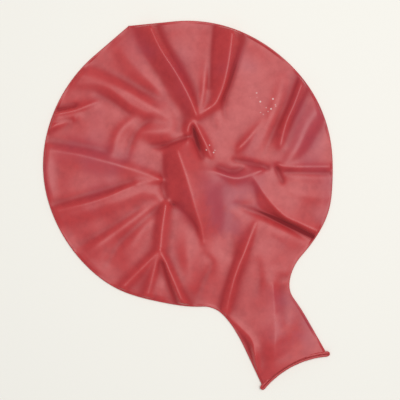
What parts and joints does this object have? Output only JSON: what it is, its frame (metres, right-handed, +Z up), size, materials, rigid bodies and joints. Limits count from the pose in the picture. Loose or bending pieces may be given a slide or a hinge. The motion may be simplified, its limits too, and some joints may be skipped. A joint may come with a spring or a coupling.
{
  "type": "latex balloon",
  "caption": "Giant round latex balloon, empty and lying flat, with a wide neck, a rolled bead at the mouth and a thick drip at the crown.",
  "frame": {"origin": "centre of the round body, on the surface that the balloon lies on", "axes": "+Z up from the resting surface, -Y along the neck towards the mouth, +X to the right seen from above with the neck towards the viewer"},
  "size_m": [0.48, 0.6379, 0.022],
  "materials": {
    "body_latex": "satin translucent natural latex with a light bloom",
    "neck_latex": "satin translucent natural latex with a light bloom",
    "bead_latex": "satin solid latex, a little darker than the skin",
    "tip_latex": "satin solid latex, dark where it is thick"
  },
  "bodies": {
    "body": {"body_skin": "body_latex", "crown_tip": "tip_latex"},
    "neck": {"neck_sleeve": "neck_latex", "mouth_bead": "bead_latex"}
  },
  "joints": [
    {"name": "neck_fold", "type": "hinge", "parent": "body", "child": "neck", "pos_m": [0, -0.27703, 0.0044], "axis": [-1, 0, 0], "range_deg": [0, 165]}
  ]
}
